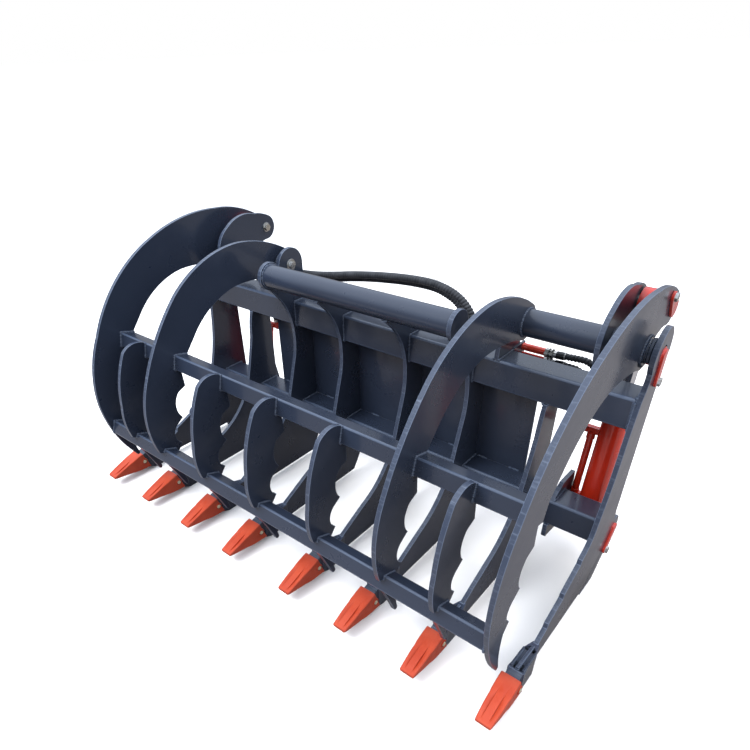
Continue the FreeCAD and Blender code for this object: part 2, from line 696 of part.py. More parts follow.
def route_wire(points):
    """Straight runs joined by tangent arcs, as large as the two runs at each corner allow."""
    edges = []
    here = V(*points[0])
    radii = []
    for before, corner, after in zip(points, points[1:], points[2:]):
        before, corner, after = V(*before), V(*corner), V(*after)
        back, ahead = (before - corner), (after - corner)
        shorter = min(back.Length, ahead.Length)
        turn = math.pi - back.getAngle(ahead)
        radius = 0.45 * shorter / math.tan(turn / 2)
        radii.append(radius)
        back.normalize()
        ahead.normalize()
        start = corner + back * (0.45 * shorter)
        end = corner + ahead * (0.45 * shorter)
        inward = back + ahead
        inward.normalize()
        centre = corner + inward * (radius / math.cos(turn / 2))
        middle = centre - inward * radius
        if (start - here).Length > 0.001:
            edges.append(Part.LineSegment(here, start).toShape())
        edges.append(Part.Arc(start, middle, end).toShape())
        here = end
    edges.append(Part.LineSegment(here, V(*points[-1])).toShape())
    return Part.Wire(edges), radii


def hose(name, points, radius):
    wire, radii = route_wire(points)
    first = V(*points[1]) - V(*points[0])
    circle = Part.Wire(Part.Circle(V(*points[0]), first, radius).toShape())
    solid = wire.makePipeShell([circle], True, True)
    want = math.pi * radius ** 2 * wire.Length
    print(name, "length %.0f" % wire.Length, "radii", [round(r) for r in radii],
          "volume share %.4f" % (solid.Volume / want))
    return solid


def behind_beam(x, back, rise):
    """Point of a hose, measured from the couplings' line and the top of the top beam."""
    return (x, hose_y + back, top_beam_top + rise)


def hose_routes():
    """Chosen points of the four hoses, each from a coupling to a cylinder's port."""
    high, low = coupling_heights
    lead = 58.0              # straight length out of each coupling
    top_y, top_z = port_face(top_port)
    mid_y, mid_z = port_face(middle_port)
    top_z += hose_gap
    mid_z += hose_gap
    short_high = [(coupling_end, hose_y, high), (coupling_end + lead, hose_y, high),
                  behind_beam(755, 5, -33), behind_beam(788, 14, -78), behind_beam(799, 36, -122),
                  (top_hose_x, top_y, top_z)]
    short_low = [(coupling_end, hose_y, low), (coupling_end + lead - 5, hose_y, low),
                 behind_beam(746, 3, -70), behind_beam(766, 10, -119), behind_beam(769, 30, -173),
                 (middle_hose_x, mid_y, mid_z)]
    long_high = [(coupling_start, hose_y, high), (coupling_start - lead, hose_y, high)]
    long_high += [behind_beam(*step) for step in (
        (345, -1, 11), (300, 0, 51), (252, 0, 87), (196, 1, 116), (130, 2, 134), (-5, 3, 140), (-202, 2, 118),
        (-366, 0, 85), (-472, 0, 68), (-590, 0, 58), (-690, 3, 38), (-752, 8, -4), (-788, 18, -60),
        (-799, 36, -118))]
    long_high.append((-top_hose_x, top_y, top_z))
    long_low = [(coupling_start, hose_y, low), (coupling_start - lead, hose_y, low)]
    long_low += [behind_beam(*step) for step in (
        (345, -1, -24), (300, 1, 13), (250, 3, 53), (194, 4, 82), (128, 5, 103), (-6, 6, 110), (-205, 5, 88),
        (-372, 4, 55), (-492, 4, 35), (-590, 5, 18), (-674, 8, -14), (-728, 8, -60), (-755, 12, -116),
        (-769, 29, -173))]
    long_low.append((-middle_hose_x, mid_y, mid_z))
    return {"cylinder_hose_upper": (short_high, hose_radius), "cylinder_hose_lower": (short_low, hose_radius),
            "crossover_hose_upper": (long_high, crossover_radius),
            "crossover_hose_lower": (long_low, crossover_radius)}


def save(name, shape):
    shape.translate(datum)
    shape.exportStep("parts/%s.step" % name)
    print(name, len(shape.Solids), shape.isValid(), round(shape.Volume / 1e6, 2))


front_y = tooth_tip_y
rear_y = loader_pin_y + loader_ear_radius
datum = V(0, -(front_y + rear_y) / 2, -ground)

places = [-x for x in reversed(tine_places)] + list(tine_places)
for number, x in enumerate(places, 1):
    outermost = abs(x) > tine_places[2] + 1
    if outermost:
        save("side_plate_left" if x < 0 else "side_plate_right", side_plate(x))
    else:
        save("tine_%d" % number, inner_tine(x))
    save("tooth_%d" % number, tooth(x))

for name, shape in {**frame_beams(), **jaw_beams(), "back_panel": back_panel(),
                    "guard_tube": guard_tube()}.items():
    save(name, shape)

for number, x in enumerate((-loader_ear_places[1], -loader_ear_places[0], *loader_ear_places), 1):
    save("loader_ear_%d" % number, loader_ear(x))

for number, x in enumerate((-arm_place, -inner_arm_place, inner_arm_place, arm_place), 1):
    save("jaw_arm_%d" % number, long_arm(x))

for number, x in enumerate(rib_places, 1):
    save("jaw_rib_%d" % number, cut_plate(jaw_rib_face(), x))

handed = {"pivot_ear": pivot_ear(), "cylinder_lug": cylinder_lug(), "jaw_lug": jaw_lug(jaw_lug_place),
          "pivot_tube": pivot_tube(), "cylinder_barrel": barrel(), "cylinder_rod": rod(), **pins()}
for name, shape in handed.items():
    other = mirrored(shape)
    save(name + "_right", shape)
    save(name + "_left", other)

save("hose_couplings", hose_couplings())
for name, (points, radius) in hose_routes().items():
    save(name, hose(name, points, radius))
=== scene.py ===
import json
import math

import bmesh
import bpy
from mathutils import Matrix, Quaternion, Vector
from mathutils.bvhtree import BVHTree

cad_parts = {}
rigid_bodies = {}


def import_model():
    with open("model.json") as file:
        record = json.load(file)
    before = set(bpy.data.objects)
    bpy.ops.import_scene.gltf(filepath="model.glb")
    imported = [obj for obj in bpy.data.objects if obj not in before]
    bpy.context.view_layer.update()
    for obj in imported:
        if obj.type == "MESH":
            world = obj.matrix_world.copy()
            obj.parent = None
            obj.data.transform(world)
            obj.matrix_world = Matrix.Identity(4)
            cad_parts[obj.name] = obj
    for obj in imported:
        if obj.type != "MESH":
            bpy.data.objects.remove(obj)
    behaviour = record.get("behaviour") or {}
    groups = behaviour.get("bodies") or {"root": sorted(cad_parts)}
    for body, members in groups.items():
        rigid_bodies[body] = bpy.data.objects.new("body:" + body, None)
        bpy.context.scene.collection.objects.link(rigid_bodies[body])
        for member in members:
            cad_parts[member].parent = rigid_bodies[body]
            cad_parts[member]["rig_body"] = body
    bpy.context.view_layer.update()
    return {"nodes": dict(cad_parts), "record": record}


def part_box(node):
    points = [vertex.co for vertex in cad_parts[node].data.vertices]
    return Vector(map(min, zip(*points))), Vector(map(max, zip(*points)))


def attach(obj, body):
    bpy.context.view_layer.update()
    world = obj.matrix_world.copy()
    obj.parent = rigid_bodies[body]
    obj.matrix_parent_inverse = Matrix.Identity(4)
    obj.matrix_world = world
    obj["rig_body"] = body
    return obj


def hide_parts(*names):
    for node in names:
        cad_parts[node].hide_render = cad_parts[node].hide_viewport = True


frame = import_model()
scene = bpy.context.scene
scene.view_settings.view_transform = "Standard"
nodes = frame["nodes"]

# Lengths are in metres and angles in degrees. A place on the grapple is measured from the middle of its
# width, from the front of the frame beams and from the tines' level. A pair is (back, up).
FRAME_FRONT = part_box("top_beam")[0].y
TINE_LEVEL = 0.032
PIVOT = (0.085, 0.864)
ROD_PIN = (0.255, 0.940)
CYLINDER_PIN = (0.165, 0.150)

# The camera, where the photograph was taken from
EYE = (1.30822, -1.64588, 1.59607)
LOOK = (0.843014, 0.414120, 0.165837, 0.300549)
LENS = 27.671
SHIFT = (0.0327, 0.1409)
FARTHEST = 300.0

# Floor and sky, as the lens sees them and as they light the grapple
FLOOR_SIZE = 400
FLOOR_SEEN, FLOOR_LIT = (0.95, 0.92, 0.89), (0.23, 0.21, 0.20)
SKY_SEEN = (1.0, 1.0, 1.0)
# From the horizon to straight up: height, colour
SKY_LIT = ((0.0, (0.24, 0.22, 0.21)), (0.12, (0.42, 0.43, 0.45)), (0.42, (0.90, 1.02, 1.22)),
           (1.0, (1.7, 1.85, 2.1)))
# Soft panels: name, place, aim, size, power, colour
PANELS = (
    ("sky_panel", (-1.6, -2.6, 4.2), (0, 0, 0.4), (3.2, 2.4), 330, (0.94, 0.97, 1.0)),
    ("side_panel", (3.6, -0.8, 2.6), (0, 0, 0.6), (3.0, 2.4), 80, (1.0, 0.94, 0.87)),
    ("rear_panel", (0.6, 4.0, 3.2), (0, 0, 0.6), (4.0, 2.4), 110, (1.0, 0.98, 0.95)),
)


# ---- what all pieces are made with

def at(x, y, z):
    """A place on the grapple, put into the frame."""
    return Vector((x, y + FRAME_FRONT, z + TINE_LEVEL))


def body_of(node):
    return nodes[node]["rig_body"]


def slot_of(node):
    for row in frame["record"]["subparts"]:
        if row["node"] == node:
            return row["material_slot"]


def numbered(name, first, last):
    return ["%s_%d" % (name, number) for number in range(first, last + 1)]


def within(value, span):
    return span[0] < value < span[1]


def new_object(name, data):
    made = bpy.data.objects.new(name, data)
    scene.collection.objects.link(made)
    return made


def finished_mesh(work, name):
    """Turns a bmesh into a mesh, and frees it."""
    mesh = bpy.data.meshes.new(name)
    work.to_mesh(mesh)
    work.free()
    return mesh


def plain_mesh(made):
    """An object's shape with its modifiers applied."""
    bpy.context.view_layer.update()
    graph = bpy.context.evaluated_depsgraph_get()
    return bpy.data.meshes.new_from_object(made.evaluated_get(graph), depsgraph=graph)


def settle(piece, body):
    """Applies the piece's modifiers, and gives it its body."""
    mesh = plain_mesh(piece)
    mesh.name = piece.name
    piece.modifiers.clear()
    piece.data = mesh
    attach(piece, body)


def break_edges(piece, width, limit, segments=2):
    """Bevels every edge that is sharper than the limit."""
    bevel = piece.modifiers.new("broken_edges", "BEVEL")
    bevel.width = width
    bevel.segments = segments
    bevel.limit_method = "ANGLE"
    bevel.angle_limit = math.radians(limit)
    return bevel


def across(direction):
    """Two directions square to the given one."""
    direction = Vector(direction).normalized()
    helper = Vector((0, 0, 1)) if abs(direction.z) < 0.9 else Vector((1, 0, 0))
    side = direction.cross(helper).normalized()
    return side, direction.cross(side).normalized()


def skin(work, rings):
    """Faces from each ring of corners to the next and over both ends. Returns the rows between the rings."""
    rows = []
    for first, second in zip(rings, rings[1:]):
        count = len(first)
        rows.append([work.faces.new((first[n], first[(n + 1) % count], second[(n + 1) % count], second[n]))
                     for n in range(count)])
    work.faces.new(list(reversed(rings[0])))
    work.faces.new(rings[-1])
    bmesh.ops.recalc_face_normals(work, faces=work.faces)
    return rows


def turned(name, place, direction, profile, finishes, body, sides=32, limit=35.0):
    """A turned piece: (distance, radius, finish) steps along its direction, closed at both ends.

    It looks round where its faces turn by less than the limit."""
    work = bmesh.new()
    side, up = across(direction)
    angles = [2 * math.pi * n / sides for n in range(sides)]
    rings = []
    for distance, radius, finish in profile:
        middle = Vector(place) + Vector(direction) * distance
        rings.append([work.verts.new(middle + (side * math.cos(angle) + up * math.sin(angle)) * radius)
                      for angle in angles])
    for row, (distance, radius, finish) in zip(skin(work, rings), profile):
        for face in row:
            face.material_index = finish
            face.smooth = True
    mesh = finished_mesh(work, name)
    mesh.set_sharp_from_angle(angle=math.radians(limit))
    for finish in finishes:
        mesh.materials.append(finish)
    piece = new_object(name, mesh)
    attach(piece, body)


# ---- camera, floor and light

def place_camera():
    lens = bpy.data.cameras.new("camera")
    lens.lens = LENS
    lens.shift_x, lens.shift_y = SHIFT
    lens.clip_end = FARTHEST
    camera = new_object("camera", lens)
    camera.rotation_mode = "QUATERNION"
    camera.rotation_quaternion = Quaternion(LOOK)
    camera.location = at(*EYE)
    scene.camera = camera


def soft_light(name, place, aim, size, power, colour):
    """A soft panel that lights the grapple and doesn't mirror in it."""
    lamp = bpy.data.lights.new(name, "AREA")
    lamp.shape = "RECTANGLE"
    lamp.size, lamp.size_y = size
    lamp.energy = power
    lamp.color = colour
    panel = new_object(name, lamp)
    panel.location = place
    panel.rotation_mode = "QUATERNION"
    panel.rotation_quaternion = (Vector(aim) - Vector(place)).to_track_quat("-Z", "Y")
    panel.visible_glossy = False


def mixed(tree, share, first, second):
    """A share of the second colour in the first. A colour is a tuple or a socket."""
    blend = tree.nodes.new("ShaderNodeMix")
    blend.data_type = "RGBA"
    tree.links.new(share, blend.inputs["Factor"])
    for socket, colour in ((blend.inputs[6], first), (blend.inputs[7], second)):
        if isinstance(colour, tuple):
            socket.default_value = (*colour, 1)
        else:
            tree.links.new(colour, socket)
    return blend.outputs[2]


def seen_or_lit(tree, seen, lit):
    """A colour that the lens sees directly, and another that lights and mirrors in the grapple."""
    path = tree.nodes.new("ShaderNodeLightPath")
    return mixed(tree, path.outputs["Is Camera Ray"], lit, seen)


def pale_floor():
    bpy.ops.mesh.primitive_plane_add(size=FLOOR_SIZE, location=(0, 0, 0))
    floor = bpy.context.object
    floor.name = "floor"
    finish = bpy.data.materials.new("pale_floor")
    finish.use_nodes = True
    shader = finish.node_tree.nodes["Principled BSDF"]
    shader.inputs["Roughness"].default_value = 0.9
    shader.inputs["Specular IOR Level"].default_value = 0.1
    ground = seen_or_lit(finish.node_tree, FLOOR_SEEN, FLOOR_LIT)
    finish.node_tree.links.new(ground, shader.inputs["Base Color"])
    floor.data.materials.append(finish)


def soft_sky():
    """A sky that is warm grey at the horizon and cool above."""
    sky = bpy.data.worlds.new("studio_sky")
    scene.world = sky
    sky.use_nodes = True
    tree = sky.node_tree
    direction = tree.nodes.new("ShaderNodeTexCoord")
    height = tree.nodes.new("ShaderNodeSeparateXYZ")
    tree.links.new(direction.outputs["Generated"], height.inputs[0])
    shade = tree.nodes.new("ShaderNodeValToRGB")
    stops = shade.color_ramp.elements
    for number, (place, colour) in enumerate(SKY_LIT):
        stop = stops[number] if number < 2 else stops.new(place)
        stop.position = place
        stop.color = (*colour, 1)
    tree.links.new(height.outputs["Z"], shade.inputs[0])
    colour = seen_or_lit(tree, SKY_SEEN, shade.outputs[0])
    tree.links.new(colour, tree.nodes["Background"].inputs["Color"])
    tree.nodes["Background"].inputs["Strength"].default_value = 1.0


def studio():
    pale_floor()
    soft_sky()
    for panel in PANELS:
        soft_light(*panel)


# ---- finishes

class Finish:
    """A node material: the shader's own values, then what varies over the surface."""

    def __init__(self, name, colour, roughness, metallic=0.0, coat=0.0, coat_roughness=0.1):
        self.material = bpy.data.materials.new(name)
        self.material.use_nodes = True
        self.tree = self.material.node_tree
        self.shader = self.tree.nodes["Principled BSDF"]
        self.shader.inputs["Base Color"].default_value = (*colour, 1)
        self.shader.inputs["Roughness"].default_value = roughness
        self.shader.inputs["Metallic"].default_value = metallic
        self.shader.inputs["Coat Weight"].default_value = coat
        self.shader.inputs["Coat Roughness"].default_value = coat_roughness
        self.place = self.tree.nodes.new("ShaderNodeTexCoord").outputs["Object"]

    def noise(self, scale, detail=3.0, roughness=0.5, stretch=None):
        """Cloudy noise, with so many clouds a metre, drawn out along an axis where stretch is small."""
        texture = self.tree.nodes.new("ShaderNodeTexNoise")
        texture.inputs["Scale"].default_value = scale
        texture.inputs["Detail"].default_value = detail
        texture.inputs["Roughness"].default_value = roughness
        source = self.place
        if stretch:
            mapping = self.tree.nodes.new("ShaderNodeMapping")
            mapping.inputs["Scale"].default_value = stretch
            self.tree.links.new(self.place, mapping.inputs["Vector"])
            source = mapping.outputs["Vector"]
        self.tree.links.new(source, texture.inputs["Vector"])
        return texture.outputs["Fac"]

    def cells(self, scale):
        texture = self.tree.nodes.new("ShaderNodeTexVoronoi")
        texture.inputs["Scale"].default_value = scale
        self.tree.links.new(self.place, texture.inputs["Vector"])
        return texture.outputs["Distance"]

    def ramp(self, source, low, high, from_value=0.0, to_value=1.0):
        """Rises from one value to another while the source goes from low to high."""
        spread = self.tree.nodes.new("ShaderNodeMapRange")
        spread.inputs["From Min"].default_value = low
        spread.inputs["From Max"].default_value = high
        spread.inputs["To Min"].default_value = from_value
        spread.inputs["To Max"].default_value = to_value
        self.tree.links.new(source, spread.inputs["Value"])
        return spread.outputs["Result"]

    def mix(self, share, first, second):
        return mixed(self.tree, share, first, second)

    def colour(self, source):
        self.tree.links.new(source, self.shader.inputs["Base Color"])

    def rough(self, source):
        self.tree.links.new(source, self.shader.inputs["Roughness"])

    def bump(self, source, strength, depth, after=None):
        """Raises the surface by the source, on top of another bump if one is given."""
        node = self.tree.nodes.new("ShaderNodeBump")
        node.inputs["Strength"].default_value = strength
        node.inputs["Distance"].default_value = depth
        self.tree.links.new(source, node.inputs["Height"])
        if after:
            self.tree.links.new(after, node.inputs["Normal"])
        self.tree.links.new(node.outputs["Normal"], self.shader.inputs["Normal"])
        return node.outputs["Normal"]


def slate_paint(name, colour, pale, scuff=0.35):
    """Dark blue gloss paint: cloudy shade, orange peel, and faint handling marks."""
    made = Finish(name, colour, 0.3, coat=0.4, coat_roughness=0.1)
    cloud = made.ramp(made.noise(1.8, 3.0), 0.35, 0.68)
    shade = made.mix(cloud, colour, tuple(c * 1.25 for c in colour))
    marks = made.ramp(made.noise(26.0, 8.0, 0.78, stretch=(1.0, 3.5, 1.0)), 0.70, 0.84, 0.0, scuff)
    made.colour(made.mix(marks, shade, pale))
    made.rough(made.ramp(made.noise(7.0, 5.0, 0.6), 0.3, 0.75, 0.25, 0.34))
    peel = made.bump(made.noise(330.0, 2.0), 0.10, 0.0006)
    made.bump(made.noise(9.0, 2.0), 0.06, 0.004, after=peel)
    return made.material


def glinting_cut_paint(name, colour, pale):
    """Paint over a torch-cut edge, whose fine drag lines glitter across the plate, partly by their bumps and
    partly by pale streaks painted as glints. The whole edge is painted lighter as a highlight.
    """
    made = Finish(name, colour, 0.3, coat=0.3, coat_roughness=0.12)
    lines = made.noise(150.0, 3.0, 0.6, stretch=(0.12, 1.0, 1.0))
    # Pale streaks along the drag lines: painted glints.
    made.colour(made.mix(made.ramp(lines, 0.54, 0.74, 0.0, 0.5), colour, pale))
    made.bump(lines, 0.25, 0.0010)
    return made.material


def cast_paint(name, colour, bright, worn):
    """Thick sprayed paint on a forging: grainy, with rubbed patches."""
    made = Finish(name, colour, 0.50, coat=0.08, coat_roughness=0.3)
    made.shader.inputs["Specular IOR Level"].default_value = 0.35
    shade = made.mix(made.ramp(made.noise(16.0, 5.0), 0.3, 0.7), colour, bright)
    rubbed = made.ramp(made.noise(60.0, 8.0, 0.75), 0.66, 0.74, 0.0, 0.5)
    made.colour(made.mix(rubbed, shade, worn))
    made.rough(made.ramp(made.noise(40.0, 4.0), 0.3, 0.7, 0.32, 0.55))
    grain = made.bump(made.noise(420.0, 3.0), 0.22, 0.0008)
    made.bump(made.noise(70.0, 3.0), 0.2, 0.002, after=grain)
    return made.material


def gloss_paint(name, colour, dark):
    """Smooth enamel on a drawn tube."""
    made = Finish(name, colour, 0.25, coat=0.35, coat_roughness=0.08)
    made.colour(made.mix(made.ramp(made.noise(5.0, 3.0), 0.35, 0.7), colour, dark))
    made.rough(made.ramp(made.noise(25.0, 4.0), 0.3, 0.8, 0.14, 0.32))
    made.bump(made.noise(300.0, 2.0), 0.08, 0.0004)
    return made.material


def plated(name, colour, tint, roughness, metallic=1.0):
    """Plated steel with fine tool marks and a faint tint."""
    made = Finish(name, colour, roughness, metallic=metallic)
    made.colour(made.mix(made.ramp(made.noise(30.0, 4.0), 0.35, 0.7), colour, tint))
    made.rough(made.ramp(made.noise(90.0, 5.0), 0.3, 0.8, roughness * 0.7, roughness * 1.5))
    made.bump(made.noise(900.0, 2.0, stretch=(1.0, 0.2, 0.2)), 0.06, 0.0002)
    return made.material


def hose_rubber(name, colour, dusty):
    """Hose cover with a cloth-wrapped grain and a little dust."""
    made = Finish(name, colour, 0.55)
    made.colour(made.mix(made.ramp(made.noise(40.0, 6.0, 0.7), 0.45, 0.8), colour, dusty))
    made.rough(made.ramp(made.noise(60.0, 3.0), 0.3, 0.7, 0.30, 0.52))
    made.bump(made.cells(700.0), 0.35, 0.0006)
    return made.material


paint = slate_paint("slate_paint", (0.0170, 0.0232, 0.0395), (0.075, 0.09, 0.125))
# Paler paint on broken edges: a painted highlight where the edges catch the sky.
edge_highlight_paint = slate_paint("slate_edge_highlights", (0.092, 0.118, 0.172), (0.24, 0.28, 0.36), scuff=0.6)
# Lighter paint on the weld beads. On the beams' rounded corners, the adapters' broken edges and the bosses
# it is a painted highlight.
weld_and_highlight_paint = slate_paint("slate_welds_and_highlights", (0.042, 0.056, 0.088), (0.17, 0.21, 0.28), scuff=0.5)
# Lighter paint on torch-cut faces, with pale streaks: a painted highlight and painted glints.
cut_edge_highlight = glinting_cut_paint("slate_paint_torch_cut_highlights", (0.030, 0.040, 0.066), (0.14, 0.17, 0.23))
tooth_paint = cast_paint("tooth_paint", (0.37, 0.040, 0.014), (0.44, 0.060, 0.024), (0.30, 0.10, 0.07))
sleeve_paint = gloss_paint("red_sleeve", (0.74, 0.052, 0.024), (0.62, 0.040, 0.018))
keeper_paint = gloss_paint("keeper_paint", (0.55, 0.035, 0.018), (0.42, 0.022, 0.012))
barrel_paint = gloss_paint("barrel_paint", (0.52, 0.026, 0.009), (0.40, 0.018, 0.007))
chrome = plated("rod_chrome", (0.80, 0.81, 0.83), (0.70, 0.71, 0.74), 0.10)
zinc = plated("bright_zinc", (0.60, 0.60, 0.59), (0.48, 0.45, 0.38), 0.30)
yellow_zinc = plated("yellow_zinc", (0.74, 0.64, 0.42), (0.60, 0.55, 0.42), 0.34, metallic=0.4)
dark_steel = plated("phosphated_steel", (0.055, 0.056, 0.060), (0.09, 0.09, 0.09), 0.38)
rubber = hose_rubber("hose_rubber", (0.018, 0.019, 0.022), (0.050, 0.052, 0.058))

SLOT_FINISH = {
    "frame_paint": paint, "tooth_red": tooth_paint, "cylinder_red": barrel_paint,
    "rod_chrome": chrome, "pin_zinc": zinc, "coupling_steel": zinc, "hose_rubber": rubber,
}


# ---- finished copies of the CAD nodes: broken edges, and each face in its finish

# Rounding of the square beams' corners, of plates' edges, of turned pieces' and of the couplings'
BEAM_CORNERS = {"top_beam": 0.008, "lower_beam": 0.008, "jaw_upper_beam": 0.006, "jaw_lower_beam": 0.006}
PLATE_EDGE, TURNED_EDGE, COUPLING_EDGE = 0.0012, 0.0008, 0.0006
# An edge is broken where its faces turn by more than this
PLATE_LIMIT, TURNED_LIMIT = 32.0, 40.0
# A solid's corners closer than this are one, and its faces that turn by less are one face
SAME_CORNER, SAME_FACE = 2e-6, 0.4

PLATES = ("side_plate", "tine_", "jaw_arm", "jaw_rib", "jaw_lug", "loader_ear", "cylinder_lug", "pivot_ear")
HALF_PLATE = 0.008
OFF_PLATE = HALF_PLATE + 0.001
BROAD_FACE = 0.95
BOSS_REACH = 0.060
EAR_RISE = 1.2
EYE_REACH = 0.064

# Keeper plates on the pins: inner and outer face, from the middle of the width
ROD_KEEPER, OUTER_KEEPER = (0.947, 0.955), (0.988, 0.996)
KEEPER_SEAT, KEEPER_MARGIN = 0.0055, 0.0004

# Hose couplings: spans from left to right, and distances from the nearer hose's line
COUPLING_HEIGHTS = (0.740, 0.708)
HOSE_LINE = 0.172
BRACKET, BRACKET_SHIFT = (0.5445, 0.5535), 0.022
BRACKET_TOP, TOP_TRIM = 0.765, 0.0135
BRACKET_REAR, REAR_TRIM = 0.19, 0.010
OFF_COUPLINGS = 0.0138
SLEEVE, SLEEVE_SKIN, SLEEVE_SLIM = (0.489, 0.629), (0.0132, 0.0150), 0.88
RED_SLEEVE, RED_FROM = (0.553 - BRACKET_SHIFT, 0.620), 0.0108
# Name, left end, length, radius
COUPLING_NUTS = (("lock_nut", 0.613, 0.016, 0.0158), ("end_nut", 0.6325, 0.012, 0.0145))
NUT_CHAMFER, NUT_FACE = 0.0015, 0.88


def merged_copy(node):
    """The node's surface as one joined mesh, its flat faces whole."""
    work = bmesh.new()
    work.from_mesh(nodes[node].data)
    bmesh.ops.remove_doubles(work, verts=work.verts, dist=SAME_CORNER)
    bmesh.ops.dissolve_limit(work, angle_limit=math.radians(SAME_FACE), verts=work.verts,
                             edges=work.edges, use_dissolve_boundaries=False)
    return finished_mesh(work, node + "_finished")


def dressed(node, width, finishes, limit=TURNED_LIMIT, mark_edges=False, segments=2):
    """A copy of a node with broken edges, in the second finish if marked. It stands for the node."""
    mesh = merged_copy(node)
    for finish in finishes:
        mesh.materials.append(finish)
    piece = new_object(node + "_finished", mesh)
    mesh.shade_smooth()
    mesh.set_sharp_from_angle(angle=math.radians(limit))
    bevel = break_edges(piece, width, limit, segments)
    bevel.use_clamp_overlap = False
    bevel.miter_outer = "MITER_ARC"
    if mark_edges:
        bevel.material = 1
    settle(piece, body_of(node))
    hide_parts(node)
    return piece


def by_place(piece, choose):
    """Gives every face the finish number that choose(its middle) returns."""
    for face in piece.data.polygons:
        face.material_index = choose(face.center)


PLATE_MIDDLES = {}


def middle_of_plate(node):
    """Middle of a plate's thickness: where most of its broad faces lie."""
    if node not in PLATE_MIDDLES:
        faces = {}
        for face in nodes[node].data.polygons:
            if abs(face.normal.x) > 0.999:
                key = round(face.center.x, 4)
                faces[key] = faces.get(key, 0.0) + face.area
        first, second = sorted(faces, key=faces.get)[-2:]
        PLATE_MIDDLES[node] = (first + second) / 2
    return PLATE_MIDDLES[node]


def dress_plate(node):
    """A plate with broken edges painted paler as a highlight, and torch-cut faces all round painted lighter
    with painted glints. Its adapter and bosses are smooth; the bosses and the adapter's broken edges get the
    lighter paint as a painted highlight.
    """
    finishes = [paint, edge_highlight_paint, cut_edge_highlight, weld_and_highlight_paint]
    # The edge and cut finishes are painted highlights; the smooth finish is the lighter paint, a painted
    # highlight here.
    flat, edge, cut, smooth = range(4)
    piece = dressed(node, PLATE_EDGE, finishes, PLATE_LIMIT, mark_edges=True)
    middle = middle_of_plate(node)
    pivot = at(0, *PIVOT)
    for face in piece.data.polygons:
        if abs(face.center.x - middle) > OFF_PLATE:
            boss = (face.center.yz - pivot.yz).length < BOSS_REACH
            # Bosses and the adapter's broken edges take the lighter paint: a painted highlight, which on the
            # bosses also paints light over their shade between the plates.
            face.material_index = smooth if boss or face.material_index == edge else flat
        elif face.material_index == flat and abs(face.normal.x) < BROAD_FACE:
            face.material_index = cut
    if node.startswith("side_plate"):
        raise_ear(piece, pivot.z)


def raise_ear(piece, middle):
    """The ear above the pivot is a little taller than round."""
    for vertex in piece.data.vertices:
        if vertex.co.z > middle:
            vertex.co.z = middle + (vertex.co.z - middle) * EAR_RISE


def dress_rod(node):
    """Chrome rod. Its eye and the neck behind it are painted as the barrel is."""
    piece = dressed(node, TURNED_EDGE, [chrome, barrel_paint])
    pin = at(0, *ROD_PIN)
    by_place(piece, lambda middle: 1 if (middle.yz - pin.yz).length < EYE_REACH else 0)


def dress_pin(node):
    """Plated pin with a painted keeper. A rod pin's keeper is seated on its arm."""
    piece = dressed(node, TURNED_EDGE, [zinc, keeper_paint])
    inside, outside = OUTER_KEEPER
    if node.startswith("rod_pin"):
        inside, outside = (place - KEEPER_SEAT for place in ROD_KEEPER)
        for vertex in piece.data.vertices:
            if abs(vertex.co.x) > ROD_KEEPER[0] - KEEPER_MARGIN:
                vertex.co.x -= math.copysign(KEEPER_SEAT, vertex.co.x)
    if not node.startswith("pivot_pin_inner"):
        keeper = (inside - KEEPER_MARGIN, outside + KEEPER_MARGIN)
        by_place(piece, lambda middle: 1 if within(abs(middle.x), keeper) else 0)


def dress_couplings():
    """Plated couplings with red dust sleeves, on a painted bracket."""
    piece = dressed("hose_couplings", COUPLING_EDGE, [zinc, sleeve_paint, paint])
    lines = [at(0, HOSE_LINE, z) for z in COUPLING_HEIGHTS]

    def from_lines(point):
        return min((point.yz - line.yz).length for line in lines)

    top, rear = at(0, 0, BRACKET_TOP).z, at(0, BRACKET_REAR, 0).y
    for vertex in piece.data.vertices:
        place = vertex.co
        if within(place.x, SLEEVE) and within(from_lines(place), SLEEVE_SKIN):
            middle = min(lines, key=lambda line: (place.yz - line.yz).length)
            place.yz = middle.yz + (place.yz - middle.yz) * SLEEVE_SLIM
        if place.z > top:
            place.z -= TOP_TRIM
        if place.y > rear:
            place.y -= REAR_TRIM
        if within(place.x, BRACKET):
            place.x -= BRACKET_SHIFT

    def choose(middle):
        if from_lines(middle) > OFF_COUPLINGS or within(middle.x + BRACKET_SHIFT, BRACKET):
            return 2
        return 1 if within(middle.x, RED_SLEEVE) and from_lines(middle) > RED_FROM else 0
    by_place(piece, choose)
    for number, z in enumerate(COUPLING_HEIGHTS, 1):
        for name, start, length, radius in COUPLING_NUTS:
            profile = [(0.0, radius * NUT_FACE, 0), (NUT_CHAMFER, radius, 0),
                       (length - NUT_CHAMFER, radius, 0), (length, radius * NUT_FACE, 0)]
            turned("coupling_%d_%s" % (number, name), at(start, HOSE_LINE, z), (1, 0, 0), profile, [zinc],
                   "frame", sides=6)


def dress_all():
    for node, cad in nodes.items():
        slot = slot_of(node)
        cad.data.materials.clear()
        cad.data.materials.append(SLOT_FINISH[slot])
        if node in BEAM_CORNERS:
            # The beams' rounded corners are in the lighter paint: a painted highlight along them.
            dressed(node, BEAM_CORNERS[node], [paint, weld_and_highlight_paint], PLATE_LIMIT, mark_edges=True, segments=3)
        elif node.startswith(PLATES):
            dress_plate(node)
        elif slot == "frame_paint":
            # The broken edges are in the paler paint, a painted highlight.
            dressed(node, PLATE_EDGE, [paint, edge_highlight_paint], PLATE_LIMIT, mark_edges=True)
        elif slot == "pin_zinc":
            dress_pin(node)
        elif slot == "cylinder_red":
            dressed(node, TURNED_EDGE, [barrel_paint])
        elif slot == "rod_chrome":
            dress_rod(node)


